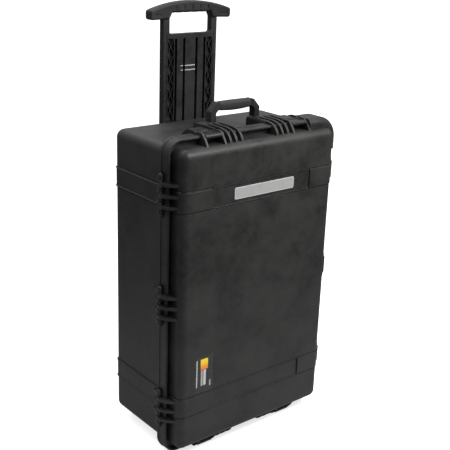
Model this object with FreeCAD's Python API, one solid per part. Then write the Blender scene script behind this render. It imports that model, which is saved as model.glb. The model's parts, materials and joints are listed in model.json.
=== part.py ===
import FreeCAD, Part
import math
import os
from FreeCAD import Vector

# Wheeled hard equipment case, standing on its lower end with the lid facing -Y.
# Units are millimetres.  The origin is on the floor, at the centre of the footprint:
# +X runs across the lid towards the latch side, +Y from the lid to the pull handle, +Z up.
# Most features are drawn on a wall of the case in three local sizes:
#   w  along the wall,  u  back from the lid's front face,  h  outwards from the wall.

os.makedirs("parts", exist_ok=True)

# ---------------------------------------------------------------- driving sizes
body_width = 466.0          # across the side walls
body_height = 746.0         # between the end walls
body_depth = 280.0          # lid face to the back wall
overall_depth = 316.0       # with the belts on the lid and the handle channel behind
foot_height = 28.0          # guard blocks below the lower end wall
wall = 5.5
corner_radius = 20.0        # corners of the case's outline
lid_edge_radius = 19.5      # round the front of the lid
back_edge_radius = 19.0     # round the back of the base

parting_u = 58.0            # where lid and base meet
parting_gap = 0.5
side_flange = 14.0          # rim flange beyond the side walls
end_flange = 20.0           # rim flange beyond the end walls
bay_flange = 12.0           # rim flange inside a latch bay
base_flange_depth = 15.0
lid_flange_depth = 20.0
lid_lip = 5.0               # thickness of the lip in front of the lid's rim channel
lid_channel_depth = 12.0

belt_offset = 257.0         # from the middle of the height to the middle of a belt
belt_height = 45.0
belt_raise = 1.5
ridge_height = 5.0
ridge_raise = 3.0
lid_recess_half = 150.0     # the belts are let into the lid's face between these
line_width = 1.8            # fine grooves along the belts and at the recesses' ends
line_depth = 1.6
belt_gap_half = 104.0       # the belts stop beside the handle channel
far = 400.0                 # beyond every part of the case, for cutting it in two

guard_height = 27.0         # hinges and latch guards stand this far off a wall
corner_guard_out = 20.0     # the upper corner's guard, beyond the latch side's wall
corner_guard_radius = 55.0
corner_guard_drop = 56.0    # how far it reaches down that wall
block_height = 28.0         # guard blocks at the two ends
hinge_w = (-268.0, 0.0, 268.0)
hinge_h = 19.0
hinge_pin_radius = 3.0
knuckle_radius = 6.5
knuckle_length = 10.0
knuckle_pitch = 13.0

latch_width = 44.0
latch_pivot_u = 36.0
latch_pivot_h = 19.0
lever_pivot_u = 66.0
lever_pivot_h = 19.5
latch_pin_radius = 2.2
toe_h = 12.3                # the lever's toe bears on the outside of the base's rim
end_latch_w = 131.0
side_latch_w = (-260.0, 0.0, 260.0)
ear_thickness = 5.5         # latch guards on both sides of each latch
ear_gap = 1.2
latch_face_h = 24.2         # a closed latch lies a little below its guards
blade_taper = 6.5           # how much each side of a lever narrows towards its lip

fin_w = (54.0, 71.0, 88.0)
fin_thickness = 6.0
handle_leg_w = 67.0
handle_leg_width = 15.0
handle_pivot_u = 120.0
handle_pivot_h = 13.0
handle_pin_radius = 3.0
handle_reach = 60.5         # pivot to the top of the bar
handle_foot_radius = 10.0
handle_bar_depth = 17.0
handle_grip_half = 49.0     # half the length of the soft grip
handle_grip_radius = 11.5
handle_skin = 3.0           # the bar is thinned by this much under the grip

panel_half_width = 82.5
panel_front_u = 293.0
panel_thickness = 17.0
panel_foot_z = 540.0        # all pull handle heights are above the lower end wall
panel_top_z = 1008.0
window_half_width = 64.0
window_low_z = 954.5
window_top_z = 1005.0
grip_half_width = 121.6
grip_end_low_z = 987.5
grip_end_top_z = 1012.0
grip_top_z = 1033.0
channel_top_z = 690.0
channel_low_z = 42.0
channel_wall = 3.5
channel_flange_half = 102.0
rail_inner = 60.0           # guide rails the panel slides between
rail_outer = 80.0
groove_x = (19.0, 44.0)
groove_width = 7.0
lattice_x = 59.0            # middle of each strip of crossed ribs
lattice_width = 18.0
lattice_pitch = 36.0
seam_x = 71.2               # a fine seam down the front of each post
rod_x = 73.0
rod_radius = 2.5
release_travel = 4.0        # the squeeze bar moves up this far
rail_gap = 0.4              # between the panel and what it slides on
finger_pitch = 24.0         # finger marks on the front of the grip
squeeze_pitch = 24.0        # finger hollows under the squeeze bar
squeeze_half_width = 62.0
squeeze_top_z = 1015.0
arm_low_z = 1010.0          # the squeeze bar's arms, one to each rod
arm_half_width = 77.0
grip_screw_places = ((-105.0, 999.0), (105.0, 999.0), (-28.0, 1027.0), (28.0, 1027.0))
running_clearance = 0.05

tongue_u = 57.35            # the base's rim ridge that presses on the seal
padlock_w = (-150.0, 150.0)
padlock_h = 20.0
padlock_hole_radius = 4.25
padlock_plate = 2.8
valve_w = 120.0
valve_u = 150.0
valve_radius = 9.0
valve_flange_radius = 16.0
valve_bore_radius = 5.5
o_ring_inner = 10.5
o_ring_outer = 12.9

wheel_radius = 40.0
wheel_width = 28.0
wheel_w = 172.0
wheel_u = 262.0
wheel_z = 12.0
axle_radius = 5.0
hub_radius = 29.0
hub_inset = 1.5
bearing_radius = 11.0
bearing_width = 7.0
wheel_gap = 4.0             # round the wheel, inside its house
spoke_count = 6

label_x = -161.5
label_half_width = 28.0
label_low_z = 146.0
label_top_z = 243.0
label_depth = 0.4
nameplate_x = 6.0
nameplate_half_width = 92.0
nameplate_height = 28.0

# ---------------------------------------------------------------- derived sizes
half_width = body_width / 2.0
lid_face_y = -overall_depth / 2.0 + belt_raise
back_u = body_depth
channel_u = overall_depth - belt_raise
half_height = body_height / 2.0
middle_z = foot_height + half_height
ear_inner = latch_width / 2.0 + ear_gap
ear_outer = ear_inner + ear_thickness
lid_padlock_u = parting_u - parting_gap - padlock_plate
base_padlock_u = parting_u + 0.2
rail_u = panel_front_u - rail_gap
panel_back_u = panel_front_u + panel_thickness
grip_front_u = panel_front_u - 5.5
grip_back_u = channel_u
grip_split_u = (grip_front_u + grip_back_u) / 2.0
pocket_top_z = squeeze_top_z + release_travel + 1.0     # the hollow the squeeze bar moves in
rod_u = panel_front_u + panel_thickness / 2.0
hub_half = wheel_width / 2.0 - hub_inset
channel_screw_places = [(x, z) for x in (-95.0, 95.0) for z in (80.0, 270.0, 460.0, 650.0)]


# ---------------------------------------------------------------- helpers
def box(w0, w1, u0, u1, h0, h1):
    return Part.makeBox(w1 - w0, u1 - u0, h1 - h0, Vector(w0, u0, h0))


def rod(radius, w0, w1, u, h):
    return Part.makeCylinder(radius, w1 - w0, Vector(w0, u, h), Vector(1, 0, 0))


def runs_along(edge, axis):
    ends = edge.Vertexes
    if len(ends) != 2:
        return False
    step = ends[1].Point - ends[0].Point
    parts = [abs(step.x), abs(step.y), abs(step.z)]
    return parts[axis] > 1e-6 and sum(parts) - parts[axis] < 1e-6


def rounded(shape, radius, axis):
    """Rounds every straight edge that runs along one axis (0 w, 1 u, 2 h)."""
    edges = [edge for edge in shape.Edges if runs_along(edge, axis)]
    return shape.makeFillet(radius, edges)


def softened(shape, radius):
    """Rounds every edge, or leaves the shape sharp where the kernel can't."""
    try:
        soft = shape.makeFillet(radius, shape.Edges)
        if soft.isValid() and soft.Volume > 0:
            return soft
    except Part.OCCError:
        pass
    return shape


def outline(points):
    """A face in the u-h plane; a point with three values starts an arc through it."""
    edges = []
    start = Vector(0, points[0][0], points[0][1])
    index = 1
    closed = points + [points[0]]
    while index < len(closed):
        point = closed[index]
        if len(point) == 3:
            middle = Vector(0, point[0], point[1])
            end = Vector(0, closed[index + 1][0], closed[index + 1][1])
            edges.append(Part.Arc(start, middle, end).toShape())
            index += 2
        else:
            end = Vector(0, point[0], point[1])
            edges.append(Part.makeLine(start, end))
            index += 1
        start = end
    return Part.Face(Part.Wire(edges))


def plate(points, w0, w1):
    """The outline of a rib or ear in the u-h plane, given its width along the wall."""
    face = outline(points)
    face.translate(Vector(w0, 0, 0))
    return face.extrude(Vector(w1 - w0, 0, 0))


def joined(shapes):
    whole = shapes[0]
    if len(shapes) > 1:
        whole = whole.fuse(shapes[1:])
    return whole.removeSplitter()


def group(shapes):
    return Part.makeCompound(shapes)


def on_wall(shape, side, w=0.0):
    """Puts a shape drawn in w, u, h on a wall: the top, bottom, left or right one."""
    frames = {
        "top": (Vector(1, 0, 0), Vector(0, 0, 1), Vector(0, 0, middle_z + half_height)),
        "bottom": (Vector(-1, 0, 0), Vector(0, 0, -1), Vector(0, 0, middle_z - half_height)),
        "right": (Vector(0, 0, -1), Vector(1, 0, 0), Vector(half_width, 0, middle_z)),
        "left": (Vector(0, 0, 1), Vector(-1, 0, 0), Vector(-half_width, 0, middle_z)),
    }
    along, out, origin = frames[side]
    origin = origin + along * w + Vector(0, lid_face_y, 0)
    back = Vector(0, 1, 0)
    matrix = FreeCAD.Matrix(
        along.x, back.x, out.x, origin.x,
        along.y, back.y, out.y, origin.y,
        along.z, back.z, out.z, origin.z,
        0, 0, 0, 1)
    placed = shape.copy()
    placed.Placement = FreeCAD.Placement(matrix).multiply(placed.Placement)
    return placed


def standing(shape):
    """Puts a shape drawn in x, u, z (z above the lower end wall) in the case."""
    placed = shape.copy()
    placed.translate(Vector(0, lid_face_y, foot_height))
    return placed


def mirrored(shape):
    """The same shape on the other side of the middle of the case."""
    return shape.mirror(Vector(0, 0, 0), Vector(1, 0, 0))


def both_sides(shape, side):
    """A shape and its mirror image, on one wall."""
    return [on_wall(shape, side), on_wall(mirrored(shape), side)]


def all_latches():
    """Each latch's name with the wall it is on and its place along that wall."""
    places = [("top_left", "top", -end_latch_w), ("top_right", "top", end_latch_w),
              ("bottom_left", "bottom", end_latch_w),
              ("bottom_right", "bottom", -end_latch_w)]
    for name, w in zip(("upper", "middle", "lower"), side_latch_w):
        places.append(("side_" + name, "right", w))
    return places


def save(name, shape):
    shape.exportStep("parts/" + name + ".step")


# ---------------------------------------------------------------- shell outlines
def rim_prism(side_out, end_out, u0, u1):
    """A slice of the case's outline, grown by the given amounts, in x, u, z."""
    radius = corner_radius + (side_out + end_out) / 2.0
    block = box(-half_width - side_out, half_width + side_out, u0, u1,
                -end_out, body_height + end_out)
    return rounded(block, radius, 1)


def body_block(inset):
    """The closed case as one rounded block, or the space inside it."""
    block = box(-half_width + inset, half_width - inset, inset, body_depth - inset,
                inset, body_height - inset)
    block = rounded(block, corner_radius - inset, 1)
    front = [edge for edge in block.Edges
             if edge.BoundBox.YMax < inset + 0.01]
    block = block.makeFillet(lid_edge_radius - inset, front)
    back = [edge for edge in block.Edges
            if edge.BoundBox.YMin > body_depth - inset - 0.01]
    return block.makeFillet(back_edge_radius - inset, back)


def slab(raise_by, z0, z1):
    """A belt round all four walls: the case's plan outline, grown, between two heights."""
    block = box(-half_width - raise_by, half_width + raise_by, -raise_by,
                body_depth + raise_by, z0, z1)
    front = [edge for edge in block.Edges
             if runs_along(edge, 2) and edge.BoundBox.YMax < body_depth / 4.0]
    block = block.makeFillet(lid_edge_radius + raise_by, front)
    back = [edge for edge in block.Edges
            if runs_along(edge, 2) and edge.BoundBox.YMin > body_depth * 0.75]
    return block.makeFillet(back_edge_radius + raise_by, back)


def ridge(z):
    """One rounded ridge along the edge of a belt."""
    ring = slab(ridge_raise, z - ridge_height / 2.0, z + ridge_height / 2.0)
    rims = [edge for edge in ring.Edges if not runs_along(edge, 2)]
    return ring.makeChamfer(ridge_height / 2.0 - 0.7, rims)


def belts():
    """Both belts; the ridges stop where the lid's front edge turns."""
    pieces = []
    for side in (-1, 1):
        centre = half_height + side * belt_offset
        low = centre - belt_height / 2.0
        top = centre + belt_height / 2.0
        pieces.append(slab(belt_raise, low, top))
        for z in (low, top):
            behind = box(-far, far, lid_edge_radius * 0.6, far, z - far, z + far)
            pieces.append(ridge(z).common(behind))
    return pieces


def belt_recesses():
    """The belts are cut back to a shallow recess in the middle of the lid's face."""
    cuts = []
    for side in (-1, 1):
        centre = half_height + side * belt_offset
        cuts.append(box(-lid_recess_half, lid_recess_half, -belt_raise - 1.0, belt_raise,
                        centre - belt_height / 2.0, centre + belt_height / 2.0))
    return cuts


def belt_lines():
    """Fine grooves round the case beside the belts' ridges, and at the recesses' ends."""
    cuts = []
    for side in (-1, 1):
        centre = half_height + side * belt_offset
        low = centre - belt_height / 2.0 - ridge_height / 2.0
        top = centre + belt_height / 2.0 + ridge_height / 2.0
        for z in (low - line_width, top):
            ring = slab(line_width, z, z + line_width)
            cuts.append(ring.cut(slab(-line_depth, z - 1.0, z + line_width + 1.0)))
        for x in (-lid_recess_half, lid_recess_half):
            cuts.append(box(x - line_width / 2.0, x + line_width / 2.0, -belt_raise - 1.0,
                            belt_raise + line_depth / 2.0, low - line_width,
                            top + line_width))
    return cuts


# ---------------------------------------------------------------- details on the walls
def hinge_cut():
    """Room for the knuckles in both flanges."""
    reach = 3 * knuckle_pitch + knuckle_length / 2.0 + knuckle_radius + 1.0
    return rod(knuckle_radius + 1.0, -reach, reach, parting_u, hinge_h)


def lid_hinge():
    """Three knuckles, each with a fin that crosses the rim and fades out on the lid."""
    pieces = []
    for step in (-2, 0, 2):
        w = step * knuckle_pitch
        low = w - knuckle_length / 2.0
        high = w + knuckle_length / 2.0
        pieces.append(rod(knuckle_radius, low, high, parting_u, hinge_h))
        fin = plate([(15.0, -1.0), (29.0, 17.0, "arc"), (46.0, guard_height),
                     (52.0, guard_height), (57.5, hinge_h + knuckle_radius),
                     (55.0, hinge_h - 4.0), (50.0, 9.0), (50.0, -1.0)],
                    w - 3.0, w + 3.0)
        arm = plate([(40.0, -1.0), (40.0, 18.0), (52.0, 24.0), (57.6, hinge_h + 4.0),
                     (55.0, hinge_h - 4.0), (50.0, 9.0), (50.0, -1.0)], low, high)
        pieces += [fin, arm]
    return joined(pieces)


def base_hinge():
    """Four knuckles between and beyond the lid's, with fins behind them on the base."""
    pieces = []
    for step in (-3, -1, 1, 3):
        w = step * knuckle_pitch
        low = w - knuckle_length / 2.0
        high = w + knuckle_length / 2.0
        pieces.append(rod(knuckle_radius, low, high, parting_u, hinge_h))
        pieces.append(plate([(58.5, hinge_h + 5.5), (68.0, 22.0), (76.0, 14.0),
                             (76.0, -1.0), (66.0, -1.0), (66.0, 9.0),
                             (61.0, hinge_h - 4.5)], low, high))
    for step in (-2, 0, 2):
        w = step * knuckle_pitch
        pieces.append(plate([(72.0, -1.0), (72.0, 12.0), (84.0, 10.0, "arc"),
                             (106.0, -1.0)], w - 2.5, w + 2.5))
    for end in (-1, 1):
        reach = end * (3 * knuckle_pitch + knuckle_length / 2.0)
        pieces.append(Part.makeSphere(knuckle_radius, Vector(reach, parting_u, hinge_h)))
    return joined(pieces)


def hinge_pin(clearance):
    """A hinge pin, or with some clearance the bore it turns in."""
    reach = 3 * knuckle_pitch + knuckle_length / 2.0
    return rod(hinge_pin_radius + clearance, -reach, reach, parting_u, hinge_h)


def lid_ear(w0, w1):
    """A latch guard on the lid, tapering away towards the lid's face."""
    return plate([(14.0, -1.0), (24.0, 15.0, "arc"), (34.0, 25.5), (38.0, guard_height),
                  (50.0, guard_height), (57.5, 24.0), (57.5, -1.0)], w0, w1)


def base_ear(w0, w1):
    """The guard's other half, falling away to the base's wall."""
    return plate([(58.0, -1.0), (58.0, 24.0), (64.0, guard_height), (84.0, guard_height),
                  (101.0, 19.0, "arc"), (115.0, -1.0)], w0, w1)


def ears(shape_of):
    return [shape_of(-ear_outer, -ear_inner), shape_of(ear_inner, ear_outer)]


def bay_cut():
    """Cuts the rim flange down inside a latch bay, lowest where the link swings."""
    deep = box(-ear_inner, ear_inner, 30.0, 50.0, 7.5, end_flange + 8.0)
    return deep.fuse(box(-ear_inner, ear_inner, 49.0, 80.0, bay_flange, end_flange + 8.0))


def latch_pivot_pin():
    return rod(latch_pin_radius, -ear_outer + 1.5, ear_outer - 1.5,
               latch_pivot_u, latch_pivot_h)


def latch_link():
    """The front half of a latch: turns on the lid's ears and carries the lever's pin."""
    half = latch_width / 2.0
    front = plate([(27.0, 14.5), (25.8, 19.5, "arc"), (31.0, latch_face_h - 0.5),
                   (57.0, latch_face_h), (60.0, latch_face_h - 1.0), (60.0, 16.0),
                   (58.0, 14.0), (40.0, 13.6)], -half, half)
    recess = box(-half + 6.0, half - 6.0, 33.0, 56.0, latch_face_h - 1.7, 30.0)
    arms = []
    for side in (-1, 1):
        near = side * (half - 8.0)
        far = side * half
        low = min(near, far)
        high = max(near, far)
        arm = plate([(58.0, latch_face_h - 0.3), (lever_pivot_u, latch_face_h - 0.3),
                     (71.2, lever_pivot_h, "arc"), (lever_pivot_u, 14.0), (58.0, 14.0)],
                    low, high)
        arms.append(arm)
    body = joined([softened(front, 1.0)] + arms).cut(recess)
    bores = [rod(latch_pin_radius + running_clearance, -half, half,
                 latch_pivot_u, latch_pivot_h),
             rod(latch_pin_radius, -half, half, lever_pivot_u, lever_pivot_h)]
    return body.cut(bores)


def latch_lever():
    """The back half: turns on the link's pin, with a finger lip and a toe at the rim."""
    half = latch_width / 2.0
    inner = half - 8.6
    knuckle = rod(latch_face_h - lever_pivot_h, -inner, inner, lever_pivot_u, lever_pivot_h)
    neck = box(-inner, inner, lever_pivot_u, 76.0, 17.5, latch_face_h - 0.4)
    blade = plate([(72.4, latch_face_h), (88.0, latch_face_h), (97.0, latch_face_h + 0.8),
                   (98.6, 22.6, "arc"), (96.0, 20.6), (88.0, 19.0), (72.4, 16.0)],
                  -half, half)
    toe = plate([(70.0, 17.0), (66.5, toe_h), (74.0, toe_h), (80.0, toe_h),
                 (84.0, 21.0)], -half + 8.0, half - 8.0)
    groove = box(-half + 9.0, half - 9.0, 86.5, 90.0, latch_face_h - 0.5, 28.0)
    blade = blade.cut([blade_side(-1), blade_side(1)])
    body = joined([knuckle, neck, softened(blade, 0.9), toe]).cut(groove)
    bore = rod(latch_pin_radius + running_clearance, -half, half,
               lever_pivot_u, lever_pivot_h)
    return body.cut(bore)


def blade_side(side):
    """What is cut from one side of the blade, so that it narrows towards the finger lip."""
    wide = side * (latch_width / 2.0)
    narrow = side * (latch_width / 2.0 - blade_taper)
    corners = [(wide, 72.4), (wide + side * 5.0, 72.4), (wide + side * 5.0, 110.0),
               (narrow, 110.0), (narrow, 98.5)]
    points = [Vector(w, u, 5.0) for w, u in corners]
    return Part.Face(Part.makePolygon(points + [points[0]])).extrude(Vector(0, 0, 30.0))


def lever_pin():
    half = latch_width / 2.0
    return rod(latch_pin_radius, -half, half, lever_pivot_u, lever_pivot_h)


def lid_fins():
    """The guard block's fins where they run over the lid's rim."""
    fins = []
    for w in fin_w:
        half = fin_thickness / 2.0
        fins.append(plate([(17.0, -1.0), (25.0, 15.0, "arc"), (40.0, 25.0),
                           (57.5, block_height), (57.5, -1.0)], w - half, w + half))
    return fins


def base_block():
    """A guard block on an end wall, with shallow grooves between its fins."""
    low = fin_w[0] - fin_thickness / 2.0
    high = end_latch_w - ear_inner
    block = plate([(58.0, -1.0), (58.0, block_height), (124.0, block_height),
                   (132.5, 24.5, "arc"), (136.0, 16.0), (136.0, -1.0)], low, high)
    corner = [edge for edge in block.Edges
              if runs_along(edge, 2) and edge.BoundBox.XMax < low + 0.1
              and edge.BoundBox.YMin > 130.0]
    block = block.makeFillet(8.0, corner)
    cuts = []
    for left, right in zip(fin_w, fin_w[1:] + (end_latch_w - ear_inner - 2.5,)):
        g0 = left + fin_thickness / 2.0
        g1 = right - fin_thickness / 2.0
        cuts.append(plate([(57.0, 12.0), (57.0, 40.0), (104.0, 40.0), (104.0, 27.0),
                           (74.0, 20.0)], g0, g1))
    return block.cut(cuts)


def handle_slot():
    """The open slot that a handle's leg turns in."""
    half = handle_leg_width / 2.0 + 0.5
    return box(handle_leg_w - half, handle_leg_w + half, handle_pivot_u - 12.0, 150.0,
               2.0, 40.0)


def handle_pin():
    return rod(handle_pin_radius, handle_leg_w - 15.0, handle_leg_w + 20.0,
               handle_pivot_u, handle_pivot_h)


def corner_guard(u0, u1, round_front):
    """The shoulder that wraps the rim's upper corner on the latch side."""
    x0 = end_latch_w + ear_outer - 1.0
    z0 = body_height - corner_guard_drop
    block = box(x0, half_width + corner_guard_out, u0, u1, z0, body_height + guard_height)
    corner = [edge for edge in block.Edges
              if runs_along(edge, 1) and edge.BoundBox.XMin > half_width
              and edge.BoundBox.ZMin > body_height]
    block = block.makeFillet(corner_guard_radius, corner)
    rim_u = u0 if round_front else u1
    rims = [edge for edge in block.Edges
            if abs(edge.BoundBox.YMin - rim_u) + abs(edge.BoundBox.YMax - rim_u) < 0.01
            and edge.BoundBox.XMax > x0 + 1.0 and edge.BoundBox.ZMax > z0 + 1.0]
    block = block.makeFillet(16.0 if round_front else 5.0, rims)
    return standing(block.cut(body_block(wall)))


def side_block():
    """A plain block on the latch side that carries one leg of the side handle."""
    block = box(handle_leg_w - 16.0, handle_leg_w + 22.0, 58.0, 136.0, -1.0, 25.0)
    return rounded(block, 8.0, 2)


# ---------------------------------------------------------------- shells
def wheel_house(grow):
    """The room round one wheel, grown by a wall when it stands for the house's outside."""
    half = wheel_width / 2.0 + 6.0 + grow
    return wheel_disc(wheel_radius + wheel_gap + grow, half)


def base_shell():
    half_space = box(-far, far, parting_u, far, -far, 3 * far)
    flange = rim_prism(side_flange, end_flange, parting_u, parting_u + base_flange_depth)
    back_rim = [edge for edge in flange.Edges
                if edge.BoundBox.YMin > parting_u + base_flange_depth - 0.01]
    flange = flange.makeFillet(2.5, back_rim)
    bead = rim_prism(side_flange + 1.2, end_flange + 1.2, parting_u + 5.0, parting_u + 8.0)
    tongue = rim_prism(4.4, 4.4, tongue_u, parting_u)
    tongue = tongue.cut(rim_prism(1.4, 1.4, tongue_u - 1.0, parting_u + 1.0))
    outer = body_block(0.0).fuse(belts()).cut(belt_lines()).common(half_space)
    outer = outer.cut(box(-belt_gap_half, belt_gap_half, back_u, far, -far, 3 * far))
    rail_low_z = channel_low_z + channel_wall
    rails = [box(x, x + rail_outer - rail_inner, back_u - 1.0, rail_u, rail_low_z, channel_top_z)
             for x in (-rail_outer, rail_inner)]
    outer = outer.fuse([flange, bead, tongue] + rails)
    houses = [wheel_house(wall - 1.5), mirrored(wheel_house(wall - 1.5))]
    houses = [house.common(body_block(0.0)) for house in houses]
    hollow = body_block(wall).cut(houses)
    shell = outer.cut(hollow.common(box(-far, far, parting_u - 1.0, far, -far, 3 * far)))
    wells = [wheel_house(0.0), mirrored(wheel_house(0.0))]
    bores = []
    for side in (-1, 1):
        start = side * wheel_w - 26.0
        bores.append(Part.makeCylinder(axle_radius, 52.0, Vector(start, wheel_u, wheel_z),
                                       Vector(1, 0, 0)))
    bores += [screw_hole(x, z) for x, z in channel_screw_places]
    shell = standing(shell.cut(wells + bores))
    bores = [on_wall(hinge_pin(0.0), "left", w) for w in hinge_w]
    for wall_name in ("top", "right"):
        bores += both_sides(handle_pin(), wall_name)
    return shell.cut(base_wall_cuts()).fuse(base_wall_parts()).cut(bores).removeSplitter()


def base_wall_cuts():
    """What the hinges, latches, padlock plates and valve take out of the base's walls."""
    cuts = [on_wall(valve_hole(), "right", valve_w)]
    cuts += [on_wall(base_padlock_slot(), "right", w) for w in padlock_w]
    cuts += [on_wall(hinge_cut(), "left", w) for w in hinge_w]
    cuts += [on_wall(bay_cut(), side, w) for name, side, w in all_latches()]
    return cuts


def base_wall_parts():
    """The hinges, latch guards and guard blocks on the base's walls."""
    parts = [on_wall(base_hinge(), "left", w) for w in hinge_w]
    for name, side, w in all_latches():
        parts += [on_wall(ear, side, w) for ear in ears(base_ear)]
    parts += both_sides(base_block().cut(handle_slot()), "top")
    parts += both_sides(base_block(), "bottom")
    parts += both_sides(side_block().cut(handle_slot()), "right")
    parts.append(corner_guard(parting_u, parting_u + base_flange_depth + 3.0, False))
    return parts


def lid_shell():
    end_u = parting_u - parting_gap
    half_space = box(-far, far, -far, end_u, -far, 3 * far)
    flange = rim_prism(side_flange, end_flange, parting_u - lid_flange_depth, end_u)
    front = parting_u - lid_flange_depth
    front_rim = [edge for edge in flange.Edges if edge.BoundBox.YMax < front + 0.01]
    flange = flange.makeFillet(2.0, front_rim)
    outer = body_block(0.0).cut(belt_recesses()).fuse(belts())
    outer = outer.cut(belt_recesses() + belt_lines()).common(half_space).fuse(flange)
    channel = rim_prism(side_flange - lid_lip, end_flange - lid_lip,
                        front - 1.0, front + lid_channel_depth)
    channel = channel.cut(rim_prism(0.0, 0.0, front - 2.0, front + lid_channel_depth + 1.0))
    shell = outer.cut([channel, body_block(wall), seal_groove(), label_recess()])
    shell = standing(shell)
    cuts = [on_wall(lid_padlock_slot(), "right", w) for w in padlock_w]
    cuts += [on_wall(hinge_cut(), "left", w) for w in hinge_w]
    cuts += [on_wall(bay_cut(), side, w) for name, side, w in all_latches()]
    adds = [on_wall(lid_hinge(), "left", w) for w in hinge_w]
    bores = [on_wall(hinge_pin(running_clearance), "left", w) for w in hinge_w]
    for name, side, w in all_latches():
        adds += [on_wall(ear, side, w) for ear in ears(lid_ear)]
        bores.append(on_wall(latch_pivot_pin(), side, w))
    for fin in lid_fins():
        adds += both_sides(fin, "top") + both_sides(fin, "bottom")
    adds.append(corner_guard(16.0, end_u, True))
    adds = [add.cut([standing(body_block(wall)), standing(seal_groove())]) for add in adds]
    return shell.cut(cuts).fuse(adds).cut(bores).removeSplitter()


def seal_groove():
    outer = rim_prism(5.6, 5.6, parting_u - 4.0, parting_u + 1.0)
    return outer.cut(rim_prism(0.2, 0.2, parting_u - 5.0, parting_u + 2.0))


def seal():
    ring = rim_prism(5.4, 5.4, parting_u - 4.0, tongue_u - 0.15)
    return ring.cut(rim_prism(0.4, 0.4, parting_u - 5.0, parting_u + 2.0))


# ---------------------------------------------------------------- small fittings
def label_recess():
    return box(label_x - label_half_width - 0.5, label_x + label_half_width + 0.5,
               -1.0, label_depth, label_low_z - 0.5, label_top_z + 0.5)


def label():
    sheet = box(label_x - label_half_width, label_x + label_half_width, 0.1, label_depth,
                label_low_z, label_top_z)
    return standing(rounded(sheet, 2.5, 1))


def nameplate():
    centre = half_height + belt_offset
    sheet = box(nameplate_x - nameplate_half_width, nameplate_x + nameplate_half_width,
                0.2, belt_raise, centre - nameplate_height / 2.0,
                centre + nameplate_height / 2.0)
    return standing(rounded(sheet, 4.0, 1))


def padlock_tab(u0):
    tab = box(-11.0, 11.0, u0, u0 + padlock_plate, 6.0, guard_height)
    top = [edge for edge in tab.Edges
           if runs_along(edge, 1) and edge.BoundBox.ZMin > guard_height - 0.1]
    tab = tab.makeFillet(5.0, top)
    hole = Part.makeCylinder(padlock_hole_radius, 20.0, Vector(0, u0 - 8.0, padlock_h),
                             Vector(0, 1, 0))
    return tab.cut(hole)


def lid_padlock_slot():
    return box(-11.0, 11.0, lid_padlock_u, parting_u, 6.0, 20.0)


def base_padlock_slot():
    return box(-11.0, 11.0, parting_u - 1.0, base_padlock_u + padlock_plate, 6.0, 20.0)


def padlock_plates(u0):
    return group([on_wall(padlock_tab(u0), "right", w) for w in padlock_w])


def upright(radius, h0, h1):
    return Part.makeCylinder(radius, h1 - h0, Vector(0, valve_u, h0))


def valve_hole():
    return upright(valve_radius, -20.0, 5.0)


def valve_body():
    flange = upright(valve_flange_radius, 0.0, 5.5)
    top = [edge for edge in flange.Edges if edge.BoundBox.ZMin > 5.0]
    flange = flange.makeFillet(1.8, top)
    body = flange.fuse(upright(valve_radius, -14.0, 0.0))
    groove = upright(o_ring_outer + 0.1, 0.0, 1.6).cut(upright(o_ring_inner - 0.1, -1.0, 3.0))
    notches = []
    for step in range(4):
        notch = Part.makeCylinder(1.6, 12.0, Vector(7.0, valve_u, 5.5), Vector(1, 0, 0))
        notch.rotate(Vector(0, valve_u, 0), Vector(0, 0, 1), 45.0 + 90.0 * step)
        notches.append(notch)
    return body.cut([groove, upright(valve_bore_radius, -15.0, -1.0)] + notches)


def valve_nut():
    hexagon = []
    for step in range(7):
        angle = math.radians(60.0 * step)
        hexagon.append(Vector(15.0 * math.cos(angle), valve_u + 15.0 * math.sin(angle),
                              -wall - 5.0))
    nut = Part.Face(Part.makePolygon(hexagon)).extrude(Vector(0, 0, 5.0))
    return nut.cut(upright(valve_radius, -20.0, 0.0))


def valve_o_ring():
    return upright(o_ring_outer, 0.0, 1.5).cut(upright(o_ring_inner, -1.0, 3.0))


def valve_membrane():
    return upright(valve_bore_radius, -4.0, -3.0)


# ---------------------------------------------------------------- carry handles
def handle_core():
    """A U-shaped bar with round feet, thinner where the grip is moulded over it."""
    leg_out = handle_leg_w + handle_leg_width / 2.0
    leg_in = handle_leg_w - handle_leg_width / 2.0
    top = handle_pivot_h + handle_reach - 1.5
    under = top - handle_bar_depth
    foot = handle_pivot_h - handle_foot_radius
    front = handle_pivot_u - handle_foot_radius
    back = handle_pivot_u + handle_foot_radius
    outside = [(leg_out, foot), (leg_out, top - 21.0), (leg_out - 19.0, top)]
    inside = [(-leg_in, foot), (-leg_in, under - 8.0), (-leg_in + 8.0, under)]
    outside += [(-w, h) for w, h in reversed(outside)]
    inside += [(-w, h) for w, h in reversed(inside)]
    points = [Vector(w, front, h) for w, h in outside + inside]
    face = Part.Face(Part.makePolygon(points + [points[0]]))
    bar = face.extrude(Vector(0, back - front, 0))
    bends = [edge for edge in bar.Edges
             if runs_along(edge, 1) and edge.BoundBox.ZMin > foot + 5.0]
    bar = bar.makeFillet(6.0, bends)
    round_feet = rod(handle_foot_radius, -leg_out, leg_out, handle_pivot_u, handle_pivot_h)
    above = box(-leg_out, leg_out, front, back, handle_pivot_h, top + 1.0)
    bar = bar.common(round_feet.fuse(above))
    sleeve = box(-handle_grip_half, handle_grip_half, front - 1.0, back + 1.0,
                 under - 5.0, top + 5.0)
    bore = rod(handle_pin_radius + running_clearance, -leg_out - 1.0, leg_out + 1.0,
               handle_pivot_u, handle_pivot_h)
    return bar.cut([sleeve.cut(thinned_bar()), bore])


def thinned_bar():
    """The bar's section where the grip is moulded over it, longer than the grip."""
    top = handle_pivot_h + handle_reach - 1.5
    reach = handle_grip_half + 10.0
    depth = handle_foot_radius - handle_skin
    return box(-reach, reach, handle_pivot_u - depth, handle_pivot_u + depth,
               top - handle_bar_depth + handle_skin, top - handle_skin)


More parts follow.
